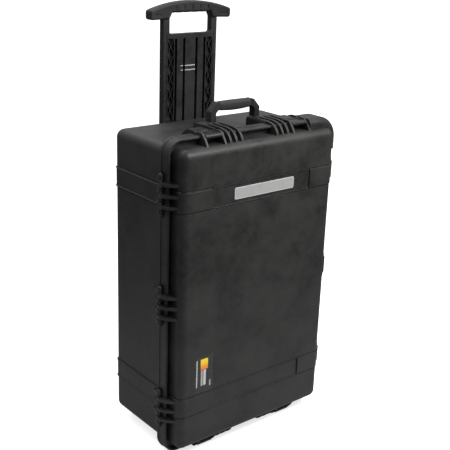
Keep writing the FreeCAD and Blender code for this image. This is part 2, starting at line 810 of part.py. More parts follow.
def handle_grip():
    """The soft grip round the middle of the bar, fuller on its underside."""
    top = handle_pivot_h + handle_reach
    low = top - 1.5 - handle_bar_depth - 6.0
    grip = box(-handle_grip_half, handle_grip_half, handle_pivot_u - handle_grip_radius,
               handle_pivot_u + handle_grip_radius, low, top)
    grip = rounded(grip, 8.0, 0)
    belly_radius = 420.0
    belly = Part.makeCylinder(belly_radius, 6 * handle_grip_radius,
                              Vector(0, handle_pivot_u - 3 * handle_grip_radius,
                                     low + belly_radius), Vector(0, 1, 0))
    return grip.common(belly).cut(thinned_bar())


def folded(shape):
    """A carry handle laid back against its wall."""
    turned = shape.copy()
    turned.rotate(Vector(0, handle_pivot_u, handle_pivot_h), Vector(1, 0, 0), -90.0)
    return turned


def handle_pins(side):
    return group(both_sides(handle_pin(), side))


# ---------------------------------------------------------------- pull handle
def channel():
    """The housing screwed to the back wall that the pull handle slides in."""
    inner = panel_half_width + 0.6
    outer = inner + channel_wall
    shell = box(-outer, outer, back_u, channel_u, channel_low_z, channel_top_z)
    ends = [edge for edge in shell.Edges if edge.BoundBox.YMin > channel_u - 0.1]
    shell = shell.makeFillet(3.0, ends)
    flange = box(-channel_flange_half, channel_flange_half, back_u, back_u + 4.0,
                 channel_low_z, channel_top_z)
    flange = rounded(flange, 8.0, 1)
    hollow = box(-inner, inner, back_u - 1.0, channel_u - channel_wall,
                 channel_low_z + channel_wall, channel_top_z + 1.0)
    ribs = []
    for x in (-rail_outer, rail_inner):
        ribs.append(box(x, x + rail_outer - rail_inner, panel_back_u + rail_gap,
                        channel_u - channel_wall + 0.5, channel_low_z + 5.0, channel_top_z))
    grooves = []
    for x in (-48.0, -16.0, 16.0, 48.0):
        groove = box(x - 5.0, x + 5.0, channel_u - 1.2, channel_u + 1.0,
                     channel_low_z + 40.0, channel_top_z - 40.0)
        grooves.append(rounded(groove, 4.9, 1))
    holes = [screw_hole(x, z) for x, z in channel_screw_places]
    return standing(shell.fuse(flange).cut(hollow).fuse(ribs).cut(grooves + holes))


def screw_hole(x, z):
    return Part.makeCylinder(2.0, 12.0, Vector(x, back_u - 4.5, z), Vector(0, 1, 0))


def channel_screws():
    screws = []
    for x, z in channel_screw_places:
        shank = Part.makeCylinder(2.0, 8.5, Vector(x, back_u - 4.5, z), Vector(0, 1, 0))
        head = Part.makeCylinder(4.2, 2.6, Vector(x, back_u + 4.0, z), Vector(0, 1, 0))
        rim = [edge for edge in head.Edges if edge.BoundBox.YMin > back_u + 6.5]
        head = head.makeFillet(1.2, rim)
        slot = box(x - 0.6, x + 0.6, back_u + 5.4, back_u + 8.0, z - 3.0, z + 3.0)
        cross = box(x - 3.0, x + 3.0, back_u + 5.4, back_u + 8.0, z - 0.6, z + 0.6)
        screws.append(standing(shank.fuse(head).cut([slot, cross])))
    return group(screws)


def lattice_strip(x, low, top):
    """Crossed ribs that fill a strip of the panel from end to end."""
    half = lattice_width / 2.0
    thick = 3.4
    bars = []
    count = int((top - low) / lattice_pitch)
    pitch = (top - low) / count
    for cell in range(count):
        z0 = low + cell * pitch
        z1 = z0 + pitch
        for lean in (-1, 1):
            corners = [(x - lean * half, z0 - thick / 2), (x - lean * half, z0 + thick / 2),
                       (x + lean * half, z1 + thick / 2), (x + lean * half, z1 - thick / 2)]
            points = [Vector(px, panel_front_u + 1.0, pz) for px, pz in corners]
            face = Part.Face(Part.makePolygon(points + [points[0]]))
            bars.append(face.extrude(Vector(0, 9.0, 0)))
    strip = box(x - half, x + half, panel_front_u, panel_front_u + 10.0, low, top)
    return joined(bars).common(strip)


def trolley_panel():
    """The sliding panel: two posts round a window, and grooves and crossed ribs below."""
    panel = box(-panel_half_width, panel_half_width, panel_front_u, panel_back_u,
                panel_foot_z, panel_top_z)
    panel = rounded(panel, 3.0, 2)
    window = box(-window_half_width, window_half_width, panel_front_u - 1.0,
                 panel_back_u + 1.0, window_low_z, panel_top_z + 20.0)
    window = rounded(window, 6.0, 1)
    low = panel_foot_z + 12.0
    top = window_low_z - 11.0
    cuts = [window]
    ribs = []
    for side in (-1, 1):
        for x in groove_x:
            cuts.append(box(side * x - groove_width / 2, side * x + groove_width / 2,
                            panel_front_u - 1.0, panel_front_u + 10.0, low, top))
        half = lattice_width / 2.0
        cuts.append(box(side * lattice_x - half, side * lattice_x + half,
                        panel_front_u - 1.0, rod_u, low, top))
        ribs.append(lattice_strip(side * lattice_x, low, top))
        cuts.append(box(side * seam_x - 0.8, side * seam_x + 0.8, panel_front_u - 1.0,
                        panel_front_u + 1.5, panel_foot_z, window_low_z))
        back = box(side * 42.0 - 26.0, side * 42.0 + 26.0, panel_back_u - 3.0,
                   panel_back_u + 1.0, low, top)
        cuts.append(rounded(back, 8.0, 1))
        cuts.append(Part.makeCylinder(rod_radius + running_clearance, 600.0,
                                      Vector(side * rod_x, rod_u,
                                             panel_foot_z - 5.0)))
    return standing(panel.cut(cuts).fuse(ribs))


def grip_block():
    """The whole T-shaped grip: flat ends, arched top."""
    mid_u = grip_front_u
    low = grip_end_low_z
    points = [(-grip_half_width, low + 2.0), (-grip_half_width, grip_end_top_z)]
    start = Vector(points[1][0], mid_u, points[1][1])
    arch = Part.Arc(start, Vector(0, mid_u, grip_top_z),
                    Vector(grip_half_width, mid_u, grip_end_top_z)).toShape()
    bottom = [Vector(grip_half_width, mid_u, grip_end_top_z),
              Vector(grip_half_width, mid_u, low + 2.0),
              Vector(window_half_width + 2.0, mid_u, low + 4.0),
              Vector(window_half_width - 6.0, mid_u, window_top_z + 2.0),
              Vector(-window_half_width + 6.0, mid_u, window_top_z + 2.0),
              Vector(-window_half_width - 2.0, mid_u, low + 4.0),
              Vector(-grip_half_width, mid_u, low + 2.0),
              start]
    lines = [Part.makeLine(a, b) for a, b in zip(bottom, bottom[1:])]
    face = Part.Face(Part.Wire([arch] + lines))
    grip = face.extrude(Vector(0, grip_back_u - grip_front_u, 0))
    corners = [edge for edge in grip.Edges
               if runs_along(edge, 1) and abs(edge.BoundBox.XMin) > grip_half_width - 1.0]
    grip = grip.makeFillet(7.0, corners)
    rims = [edge for edge in grip.Edges
            if edge.BoundBox.YMax < grip_front_u + 0.1
            or edge.BoundBox.YMin > grip_back_u - 0.1]
    return grip.makeFillet(4.5, rims)


def grip_pockets():
    pockets = []
    for side in (-1, 1):
        near = side * window_half_width
        far = side * panel_half_width
        pockets.append(box(min(near, far), max(near, far), panel_front_u, panel_back_u,
                           900.0, panel_top_z))
    reach = squeeze_half_width + 0.6
    pockets.append(box(-reach, reach, panel_front_u - 1.0, panel_back_u + 1.0,
                       900.0, pocket_top_z))
    pockets.append(box(-panel_half_width, panel_half_width, panel_front_u, panel_back_u,
                       panel_top_z - 0.1, pocket_top_z))
    return pockets


def grip_screw(x, z):
    shank = Part.makeCylinder(1.8, 18.0, Vector(x, grip_back_u - 20.0, z), Vector(0, 1, 0))
    head = Part.makeCylinder(3.2, 2.4, Vector(x, grip_back_u - 2.0 - 1.0, z),
                             Vector(0, 1, 0))
    slot = box(x - 2.2, x + 2.2, grip_back_u - 1.6, grip_back_u, z - 0.5, z + 0.5)
    cross = box(x - 0.5, x + 0.5, grip_back_u - 1.6, grip_back_u, z - 2.2, z + 2.2)
    return shank.fuse(head).cut([slot, cross])


def grip_screw_hole(x, z):
    shank = Part.makeCylinder(1.8, 18.0, Vector(x, grip_back_u - 20.0, z), Vector(0, 1, 0))
    head = Part.makeCylinder(3.2, 9.0, Vector(x, grip_back_u - 2.0 - 1.0, z),
                             Vector(0, 1, 0))
    return shank.fuse(head)


def trolley_grip(front):
    """One half of the grip; the front half has finger scallops and two end slots."""
    u0, u1 = (grip_front_u, grip_split_u) if front else (grip_split_u, grip_back_u)
    half = grip_block().common(box(-200, 200, u0, u1, 900, 1100))
    cuts = grip_pockets() + [grip_screw_hole(x, z) for x, z in grip_screw_places]
    if front:
        for step in range(-2, 3):
            x = step * finger_pitch
            z = grip_top_z - 15.0 - abs(step) * 0.8
            scallop = box(x - 3.0, x + 3.0, grip_front_u - 1.0, grip_front_u + 1.6,
                          z - 6.0, z + 6.0)
            cuts.append(rounded(scallop, 2.9, 1))
        for side in (-1, 1):
            slot = box(side * 101.0 - 11.0, side * 101.0 + 11.0, grip_front_u - 1.0,
                       grip_front_u + 1.4, 997.0, 1004.0)
            cuts.append(rounded(slot, 3.4, 1))
    return standing(half.cut(cuts))


def release_bar():
    """The squeeze bar along the top of the window, with an arm to each rod."""
    bar = box(-squeeze_half_width, squeeze_half_width, panel_front_u - 0.6,
              panel_back_u + 0.6, window_top_z, squeeze_top_z)
    bar = rounded(bar, 2.0, 0)
    arms = box(-arm_half_width, arm_half_width, panel_front_u + 4.0, panel_back_u - 4.0,
               arm_low_z, squeeze_top_z)
    scallop_radius = 14.0
    scallop_z = window_top_z - scallop_radius + 0.8
    scallops = [Part.makeCylinder(scallop_radius, 40.0,
                                  Vector(step * squeeze_pitch, panel_front_u - 10.0, scallop_z),
                                  Vector(0, 1, 0))
                for step in range(-2, 3)]
    bores = [Part.makeCylinder(rod_radius, 4.0, Vector(side * rod_x, rod_u, arm_low_z - 1.0))
             for side in (-1, 1)]
    return standing(bar.cut(scallops).fuse(arms).cut(bores))


def release_rods():
    low = panel_foot_z + 5.0
    rods = [Part.makeCylinder(rod_radius, arm_low_z + 3.0 - low,
                              Vector(side * rod_x, rod_u, low))
            for side in (-1, 1)]
    return standing(group(rods))


# ---------------------------------------------------------------- wheels
def wheel_disc(radius, half, middle=wheel_w):
    return Part.makeCylinder(radius, 2 * half, Vector(middle - half, wheel_u, wheel_z),
                             Vector(1, 0, 0))


def wheel_tyre():
    tyre = wheel_disc(wheel_radius, wheel_width / 2.0)
    rims = [edge for edge in tyre.Edges if edge.Length > 10.0 and not runs_along(edge, 0)]
    tyre = tyre.makeFillet(5.0, rims)
    return tyre.cut(wheel_disc(hub_radius, wheel_width))


def wheel_hub():
    """Dished on both sides round a boss, with spokes across the dishes and bearing seats."""
    hub = wheel_disc(hub_radius, hub_half)
    seats = []
    dishes = []
    for side in (-1, 1):
        face = wheel_w + side * hub_half
        seats.append(wheel_disc(bearing_radius, bearing_width, face))
        dish = wheel_disc(hub_radius - 3.5, 4.0, face)
        dishes.append(dish.cut(wheel_disc(bearing_radius + 3.0, 5.0, face)))
    spokes = []
    for step in range(spoke_count):
        spoke = box(wheel_w - hub_half + 1.0, wheel_w + hub_half - 1.0, wheel_u - 2.0,
                    wheel_u + 2.0, wheel_z + bearing_radius + 1.0, wheel_z + hub_radius - 2.0)
        spoke.rotate(Vector(wheel_w, wheel_u, wheel_z), Vector(1, 0, 0),
                     360.0 / spoke_count * step)
        spokes.append(spoke)
    return hub.cut(dishes).fuse(spokes).cut(seats + [wheel_disc(axle_radius + 2.0, wheel_width)])


def wheel_bearings():
    rings = []
    for side in (-1, 1):
        half = bearing_width / 2.0
        centre = wheel_w + side * (hub_half - half)
        ring = wheel_disc(bearing_radius, half, centre)
        bore = wheel_disc(axle_radius + running_clearance, bearing_width, centre)
        track = wheel_disc(bearing_radius - 1.8, 0.4, centre + side * half)
        track = track.cut(wheel_disc(axle_radius + 2.2, 1.0, centre + side * half))
        rings.append(ring.cut([bore, track]))
    return group(rings)


def axle():
    return wheel_disc(axle_radius, wheel_width / 2.0 + 12.0)


def save_wheel(side):
    turn = mirrored if side == "left" else Part.Shape.copy
    save("wheel_tyre_" + side, standing(turn(wheel_tyre())))
    save("wheel_hub_" + side, standing(turn(wheel_hub())))
    save("wheel_bearings_" + side, standing(turn(wheel_bearings())))
    save("wheel_axle_" + side, standing(turn(axle())))


# ---------------------------------------------------------------- every piece
save("base_shell", base_shell())
save("lid_shell", lid_shell())
save("lid_seal", standing(seal()))
save("nameplate", nameplate())
save("care_label", label())
save("hinge_pins", group([on_wall(hinge_pin(0.0), "left", w) for w in hinge_w]))
save("lid_padlock_plates", padlock_plates(lid_padlock_u))
save("base_padlock_plates", padlock_plates(base_padlock_u))
save("latch_pivot_pins", group([on_wall(latch_pivot_pin(), side, w)
                                for name, side, w in all_latches()]))
for name, side, w in all_latches():
    save("latch_link_" + name, on_wall(latch_link(), side, w))
    save("latch_lever_" + name, on_wall(latch_lever(), side, w))
    save("latch_pin_" + name, on_wall(lever_pin(), side, w))

save("top_handle_core", on_wall(handle_core(), "top"))
save("top_handle_grip", on_wall(handle_grip(), "top"))
save("top_handle_pins", handle_pins("top"))
save("side_handle_core", on_wall(folded(handle_core()), "right"))
save("side_handle_grip", on_wall(folded(handle_grip()), "right"))
save("side_handle_pins", handle_pins("right"))

save("handle_channel", channel())
save("channel_screws", channel_screws())
save("trolley_panel", trolley_panel())
save("trolley_grip_front", trolley_grip(True))
save("trolley_grip_back", trolley_grip(False))
save("trolley_grip_screws", standing(group([grip_screw(x, z)
                                            for x, z in grip_screw_places])))
save("release_bar", release_bar())
save("release_rods", release_rods())

save_wheel("left")
save_wheel("right")

save("valve_body", on_wall(valve_body(), "right", valve_w))
save("valve_nut", on_wall(valve_nut(), "right", valve_w))
save("valve_o_ring", on_wall(valve_o_ring(), "right", valve_w))
save("valve_membrane", on_wall(valve_membrane(), "right", valve_w))
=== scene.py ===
import json
import math

import bmesh
import bpy
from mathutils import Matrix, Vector


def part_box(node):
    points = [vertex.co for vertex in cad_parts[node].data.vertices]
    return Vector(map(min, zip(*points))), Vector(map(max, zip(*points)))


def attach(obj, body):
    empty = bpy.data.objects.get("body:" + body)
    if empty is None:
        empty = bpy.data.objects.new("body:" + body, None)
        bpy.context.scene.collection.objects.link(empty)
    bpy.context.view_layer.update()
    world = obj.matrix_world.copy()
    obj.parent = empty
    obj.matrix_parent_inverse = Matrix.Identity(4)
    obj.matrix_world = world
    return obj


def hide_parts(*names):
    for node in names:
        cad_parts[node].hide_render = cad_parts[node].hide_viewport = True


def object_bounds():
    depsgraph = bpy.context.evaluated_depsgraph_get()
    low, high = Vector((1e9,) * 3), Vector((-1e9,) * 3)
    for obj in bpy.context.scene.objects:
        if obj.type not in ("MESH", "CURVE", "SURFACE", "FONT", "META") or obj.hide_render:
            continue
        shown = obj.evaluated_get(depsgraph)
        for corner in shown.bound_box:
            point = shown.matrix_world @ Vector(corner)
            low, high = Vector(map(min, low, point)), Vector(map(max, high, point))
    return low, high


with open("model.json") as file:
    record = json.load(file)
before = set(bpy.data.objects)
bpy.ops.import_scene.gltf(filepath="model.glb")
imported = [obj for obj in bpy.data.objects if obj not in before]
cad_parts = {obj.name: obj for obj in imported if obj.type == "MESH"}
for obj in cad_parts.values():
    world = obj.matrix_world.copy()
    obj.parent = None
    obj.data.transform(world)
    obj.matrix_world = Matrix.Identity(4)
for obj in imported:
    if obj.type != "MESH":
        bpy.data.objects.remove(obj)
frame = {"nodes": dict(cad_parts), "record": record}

# A wheeled hard equipment case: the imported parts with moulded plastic, rubber and steel
# finishes, and finer meshes for the soft grips and the tyres.  Units are metres.

MM = 0.001
cad_low, cad_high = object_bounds()

# ---------------------------------------------------------------- camera and light
CAMERA_PLACE = Vector((-1.314, -1.5985, 1.2346))
CAMERA_TURN = math.radians(-39.8)     # from looking along +Y, turned towards +X
CAMERA_DOWN = math.radians(19.0)
CAMERA_ROLL = math.radians(2.02)
CAMERA_LENS = 69.4                    # in millimetres
SENSOR_WIDTH = 36.0
FLOOR_HALF = 40.0
NEAR_BOUNCE = (0.56, 0.56, 0.56)      # painted light: the floor's colour to other surfaces, paler near the case as if more light fell there
FAR_BOUNCE = (0.15, 0.15, 0.15)       # and dimmer further off
NEAR_REACH = 0.3                      # between these two distances the one fades into the other
FAR_REACH = 1.5
FLOOR_GLOW = 0.70                     # added to the floor where the camera sees it
KEY_PLACE = (0.40, -1.05, 1.80)
KEY_SIZE = (0.9, 0.8)
KEY_POWER = 34.0
TOP_PLACE = (-0.2, 1.6, 3.2)
TOP_SIZE = (2.6, 2.0)
TOP_POWER = 30.0
HORIZON_LIGHT = 0.22
BACK_LIGHT = 0.45                     # added low behind the case, for the sheen on its top
ZENITH_LIGHT = 0.95                   # added straight above
BACKDROP_GLOW = 1.3                   # what the camera sees behind the floor

# ---------------------------------------------------------------- colours and fine shapes
CHARCOAL = (0.0170, 0.0170, 0.0164)
WORN_AND_LIT_EDGE = (0.105, 0.105, 0.100)          # plastic scuffed pale along an edge, also a painted highlight there
PRINT = (0.42, 0.42, 0.41)            # the plain strokes on the pull handle
DARK_PATCH = 0.62                     # darkest and lightest mottling, as shares of a colour
LIGHT_PATCH = 1.65
CLOUD_SIZE = 110.0 * MM               # the mottling's features, from broad to fine
PATCH_SIZE = 19.0 * MM
SPECK_SIZE = 5.0 * MM
RUB_SIZE = 14.0 * MM                  # breaks in the scuffing and painted highlight along an edge
SCRATCH_SIZE = 60.0 * MM
WAVE_SIZE = 45.0 * MM                 # slow waviness of a moulded wall
WAVE_DEPTH = 0.35 * MM
STROKE_DROPS = (130.5 * MM, 141.5 * MM)     # strokes' tops, down from the panel's top
STROKE_HEIGHT = 2.2 * MM
STROKE_LEFT = -29.0 * MM
STROKE_RIGHT = 16.0 * MM
PLATE_BORDER = 1.6 * MM
GRIP_STATIONS = 97
GRIP_AROUND = 64
GRIP_SQUARENESS = 2.9                 # the power of the grip's superellipse section
GRIP_RIB_PITCH = 4.0 * MM
GRIP_RIB_DEPTH = 0.60 * MM
TYRE_SEGMENTS = 120
TYRE_SHOULDER = 5.0 * MM
TYRE_CROWN = 0.6 * MM                 # how much lower the tread is at its edges
TYRE_GROOVES = (-5.0 * MM, 0.0, 5.0 * MM)
TYRE_GROOVE_DEPTH = 0.8 * MM


# ---------------------------------------------------------------- node helpers
class Nodes:
    """A short way to write the node tree of one material, or of the world."""

    def __init__(self, owner, coordinates="Object"):
        self.owner = owner
        owner.use_nodes = True
        self.tree = owner.node_tree
        self.tree.nodes.clear()
        self.place = self.add("ShaderNodeTexCoord").outputs[coordinates]

    def add(self, kind, **settings):
        node = self.tree.nodes.new(kind)
        for key, value in settings.items():
            setattr(node, key, value)
        return node

    def link(self, value, socket):
        if isinstance(value, (int, float)):
            socket.default_value = value
        elif isinstance(value, tuple):
            socket.default_value = value if len(value) == 4 else value + (1.0,)
        else:
            self.tree.links.new(value, socket)

    def math(self, operation, a, b=0.0):
        node = self.add("ShaderNodeMath", operation=operation)
        self.link(a, node.inputs[0])
        self.link(b, node.inputs[1])
        return node.outputs[0]

    def between(self, value, low, high):
        """1 where the value lies between two limits, and 0 elsewhere."""
        return self.math("MULTIPLY", self.math("GREATER_THAN", value, low),
                         self.math("LESS_THAN", value, high))

    def spread(self, value, from_low, from_high, to_low=0.0, to_high=1.0):
        """Maps one range smoothly onto another; the first may run downwards."""
        node = self.add("ShaderNodeMapRange", interpolation_type="SMOOTHSTEP")
        for socket, number in zip(node.inputs[1:5], (from_low, from_high, to_low, to_high)):
            socket.default_value = number
        self.link(value, node.inputs[0])
        return node.outputs[0]

    def stretched(self, scale):
        node = self.add("ShaderNodeMapping")
        node.inputs["Scale"].default_value = scale
        self.link(self.place, node.inputs["Vector"])
        return node.outputs[0]

    def noise(self, size, detail=3.0, roughness=0.55, stretch=None):
        """Noise whose features are about the given size in metres."""
        node = self.add("ShaderNodeTexNoise")
        node.inputs["Scale"].default_value = 1.0 / size
        node.inputs["Detail"].default_value = detail
        node.inputs["Roughness"].default_value = roughness
        self.link(self.stretched(stretch) if stretch else self.place, node.inputs["Vector"])
        return node.outputs["Fac"]

    def cells(self, size):
        """The rounded pebbles of a moulded grain."""
        node = self.add("ShaderNodeTexVoronoi", feature="SMOOTH_F1")
        node.inputs["Scale"].default_value = 1.0 / size
        node.inputs["Smoothness"].default_value = 0.6
        self.link(self.place, node.inputs["Vector"])
        return node.outputs["Distance"]

    def mix(self, share, a, b):
        node = self.add("ShaderNodeMix", data_type="RGBA")
        self.link(share, node.inputs["Factor"])
        self.link(a, node.inputs[6])
        self.link(b, node.inputs[7])
        return node.outputs[2]

    def coordinates(self):
        node = self.add("ShaderNodeSeparateXYZ")
        self.link(self.place, node.inputs[0])
        return node.outputs

    def inside(self, low, high):
        """1 inside the box with the given corners, and 0 elsewhere."""
        x, y, z = self.coordinates()
        flat = self.math("MULTIPLY", self.between(x, low.x, high.x),
                         self.between(z, low.z, high.z))
        return self.math("MULTIPLY", flat, self.between(y, low.y, high.y))

    def soft_edge(self, radius):
        """The shading normal with every sharp edge slightly rounded."""
        node = self.add("ShaderNodeBevel", samples=4)
        node.inputs["Radius"].default_value = radius
        return node.outputs[0]

    def edge_mask(self, rounded_normal):
        """Rises from 0 on flat ground to 1 along an edge."""
        flat = self.add("ShaderNodeNewGeometry").outputs["Normal"]
        node = self.add("ShaderNodeVectorMath", operation="DOT_PRODUCT")
        self.link(rounded_normal, node.inputs[0])
        self.link(flat, node.inputs[1])
        return self.spread(self.math("SUBTRACT", 1.0, node.outputs["Value"]), 0.004, 0.16)

    def bump(self, height, distance, normal=None, strength=1.0):
        node = self.add("ShaderNodeBump")
        node.inputs["Distance"].default_value = distance
        node.inputs["Strength"].default_value = strength
        self.link(height, node.inputs["Height"])
        if normal is not None:
            self.link(normal, node.inputs["Normal"])
        return node.outputs[0]

    def seen_by_camera(self):
        """1 for what the camera sees directly, and 0 for light that bounces."""
        return self.add("ShaderNodeLightPath").outputs["Is Camera Ray"]

    def finish(self, color, roughness, normal, metallic=0.0, specular=0.5, sheen=0.0,
               glow=0.0):
        surface = self.add("ShaderNodeBsdfPrincipled")
        self.link(color, surface.inputs["Base Color"])
        self.link(roughness, surface.inputs["Roughness"])
        self.link(normal, surface.inputs["Normal"])
        self.link(metallic, surface.inputs["Metallic"])
        self.link(specular, surface.inputs["Specular IOR Level"])
        self.link(sheen, surface.inputs["Sheen Weight"])
        surface.inputs["Emission Color"].default_value = (1.0, 1.0, 1.0, 1.0)
        self.link(glow, surface.inputs["Emission Strength"])
        self.link(surface.outputs[0], self.add("ShaderNodeOutputMaterial").inputs["Surface"])
        return self.owner


# ---------------------------------------------------------------- materials
def moulded_plastic(name, color, worn_and_lit_edge, roughness, grain, grain_depth, edge_radius=0.9 * MM,
                    edge_wear_and_highlight=0.45, specular=0.3, prints=()):
    """Dark moulded plastic: pebbled grain, cloudy patches, edges scuffed pale with a painted
    highlight, and fine scratches.
    """
    n = Nodes(bpy.data.materials.new(name))
    clouds = n.spread(n.noise(CLOUD_SIZE, detail=5.0, roughness=0.62), 0.34, 0.68)
    patches = n.spread(n.noise(PATCH_SIZE, detail=5.0, roughness=0.7), 0.36, 0.66)
    specks = n.spread(n.noise(SPECK_SIZE, detail=2.0), 0.42, 0.72)
    rounded_normal = n.soft_edge(edge_radius)
    rubbed_and_lit_edges = n.math("MULTIPLY", n.edge_mask(rounded_normal),
                    n.spread(n.noise(RUB_SIZE, detail=5.0, roughness=0.65), 0.30, 0.70))
    dark = tuple(DARK_PATCH * channel for channel in color)
    light = tuple(LIGHT_PATCH * channel for channel in color)
    shade = n.mix(clouds, dark, light)
    shade = n.mix(n.math("MULTIPLY", patches, 0.45), shade, light)
    shade = n.mix(n.math("MULTIPLY", specks, 0.25), shade, light)
    # edges lightened: partly scuffing, partly a painted highlight along them
    shade = n.mix(n.math("MULTIPLY", rubbed_and_lit_edges, edge_wear_and_highlight), shade, worn_and_lit_edge)
    for low, high in prints:
        shade = n.mix(n.inside(low, high), shade, PRINT)
    scratches = n.spread(n.noise(SCRATCH_SIZE, detail=6.0, roughness=0.7,
                                 stretch=(1.0, 1.0, 14.0)), 0.66, 0.74)
    gloss = n.math("ADD", roughness - 0.08, n.math("MULTIPLY", clouds, 0.10))
    gloss = n.math("ADD", gloss, n.math("MULTIPLY", patches, 0.08))
    gloss = n.math("ADD", gloss, n.math("MULTIPLY", specks, 0.05))
    gloss = n.math("SUBTRACT", gloss, n.math("MULTIPLY", rubbed_and_lit_edges, 0.10))
    gloss = n.math("SUBTRACT", gloss, n.math("MULTIPLY", scratches, 0.05))
    normal = n.bump(n.noise(WAVE_SIZE, detail=2.0), WAVE_DEPTH, rounded_normal)
    normal = n.bump(n.cells(grain), grain_depth, normal)
    normal = n.bump(n.noise(grain * 0.45, detail=2.0), grain_depth * 0.5, normal)
    return n.finish(shade, gloss, normal, specular=specular)


def soft_rubber(name, color, roughness=0.72, grain=0.9 * MM):
    """Matt rubber with a fine grain, dusty where it has been handled."""
    n = Nodes(bpy.data.materials.new(name))
    dust = n.spread(n.noise(22.0 * MM, detail=5.0), 0.45, 0.75)
    dusty = tuple(1.9 * channel for channel in color)
    shade = n.mix(n.math("MULTIPLY", dust, 0.55), color, dusty)
    gloss = n.math("ADD", roughness - 0.04, n.math("MULTIPLY", dust, 0.12))
    normal = n.bump(n.noise(grain, detail=3.0), 0.16 * MM, n.soft_edge(0.7 * MM))
    return n.finish(shade, gloss, normal, specular=0.35, sheen=0.08)


def brushed_metal(name, color, roughness, along, edge_radius=0.3 * MM):
    """Metal with fine brush lines that run along one direction."""
    n = Nodes(bpy.data.materials.new(name))
    lines = n.noise(1.6 * MM, detail=4.0, roughness=0.7, stretch=along)
    stains = n.spread(n.noise(30.0 * MM, detail=4.0), 0.35, 0.75)
    dull = tuple(0.78 * channel for channel in color)
    shade = n.mix(n.math("MULTIPLY", stains, 0.5), color, dull)
    shade = n.mix(n.math("MULTIPLY", lines, 0.25), shade, dull)
    gloss = n.math("ADD", roughness - 0.06, n.math("MULTIPLY", lines, 0.16))
    normal = n.bump(lines, 0.03 * MM, n.soft_edge(edge_radius))
    return n.finish(shade, gloss, normal, metallic=1.0)


def plate_finish(name, low, high):
    """A blank pale plate: satin face inside a thin raised border."""
    n = Nodes(bpy.data.materials.new(name))
    x, _, z = n.coordinates()
    inside = n.math("MULTIPLY", n.between(x, low.x + PLATE_BORDER, high.x - PLATE_BORDER),
                    n.between(z, low.z + PLATE_BORDER, high.z - PLATE_BORDER))
    lines = n.noise(2.0 * MM, detail=4.0, roughness=0.7, stretch=(0.03, 1.0, 1.0))
    face = n.mix(n.math("MULTIPLY", lines, 0.45), (0.46, 0.46, 0.455), (0.30, 0.30, 0.30))
    smudge = n.spread(n.noise(26.0 * MM, detail=4.0), 0.45, 0.80)
    face = n.mix(n.math("MULTIPLY", smudge, 0.25), face, (0.26, 0.26, 0.255))
    shade = n.mix(inside, (0.62, 0.62, 0.62), face)
    gloss = n.math("ADD", 0.34, n.math("MULTIPLY", lines, 0.16))
    normal = n.bump(inside, 0.25 * MM, n.soft_edge(0.4 * MM), strength=-1.0)
    normal = n.bump(lines, 0.03 * MM, normal)
    return n.finish(shade, gloss, normal, metallic=0.25)


def label_finish(name, low, high):
    """A printed film without lettering: a warm square, plain pale bars, and a dark ground."""
    n = Nodes(bpy.data.materials.new(name))
    x, _, z = n.coordinates()
    width = high.x - low.x
    height = high.z - low.z

    def block(left, right, bottom, top):
        across = n.between(x, low.x + left * width, low.x + right * width)
        return n.math("MULTIPLY", across,
                      n.between(z, low.z + bottom * height, low.z + top * height))

    film = n.mix(n.spread(n.noise(9.0 * MM, detail=3.0), 0.4, 0.7),
                 (0.012, 0.012, 0.012), (0.022, 0.022, 0.021))
    warm = n.mix(n.spread(z, low.z + 0.62 * height, low.z + 0.86 * height),
                 (0.80, 0.22, 0.02), (0.88, 0.66, 0.03))
    shade = n.mix(block(0.31, 0.70, 0.61, 0.90), film, warm)
    shade = n.mix(block(0.47, 0.60, 0.175, 0.60), shade, (0.55, 0.55, 0.54))
    shade = n.mix(block(0.33, 0.43, 0.175, 0.60), shade, (0.38, 0.38, 0.37))
    shade = n.mix(block(0.085, 0.145, 0.155, 0.90), shade, (0.46, 0.46, 0.45))
    shade = n.mix(block(0.79, 0.865, 0.11, 0.27), shade, (0.34, 0.34, 0.33))
    gloss = n.spread(n.noise(12.0 * MM, detail=4.0), 0.3, 0.8, 0.26, 0.42)
    normal = n.bump(n.noise(16.0 * MM, detail=2.0), 0.10 * MM, n.soft_edge(0.2 * MM))
    return n.finish(shade, gloss, normal)


def floor_finish():
    """Pale to the camera, but dimmer in what it throws back up at the dark plastic, with a
    painted pool of light near the case.
    """
    n = Nodes(bpy.data.materials.new("pale_floor"))
    cloud = n.spread(n.noise(0.9, detail=3.0), 0.3, 0.7)
    pale = n.mix(cloud, (0.88, 0.88, 0.88), (0.91, 0.91, 0.908))
    x, y, _ = n.coordinates()
    reach = n.math("SQRT", n.math("ADD", n.math("MULTIPLY", x, x), n.math("MULTIPLY", y, y)))
    # painted pool of light: the floor throws back more near the case than further off
    bounce = n.mix(n.spread(reach, NEAR_REACH, FAR_REACH), NEAR_BOUNCE, FAR_BOUNCE)
    shade = n.mix(n.seen_by_camera(), bounce, pale)
    gloss = n.math("ADD", 0.55, n.math("MULTIPLY", cloud, 0.08))
    normal = n.bump(n.noise(3.0 * MM, detail=2.0), 0.02 * MM)
    glow = n.math("MULTIPLY", n.seen_by_camera(), FLOOR_GLOW)
    return n.finish(shade, gloss, normal, specular=0.2, glow=glow)


def panel_prints():
    """Two plain pale strokes across the middle of the pull handle's panel."""
    low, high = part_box("trolley_panel")
    strokes = []
    for drop in STROKE_DROPS:
        top = high.z - drop
        strokes.append((Vector((STROKE_LEFT, low.y - 1.0 * MM, top - STROKE_HEIGHT)),
                        Vector((STROKE_RIGHT, low.y + 2.0 * MM, top))))
    return strokes


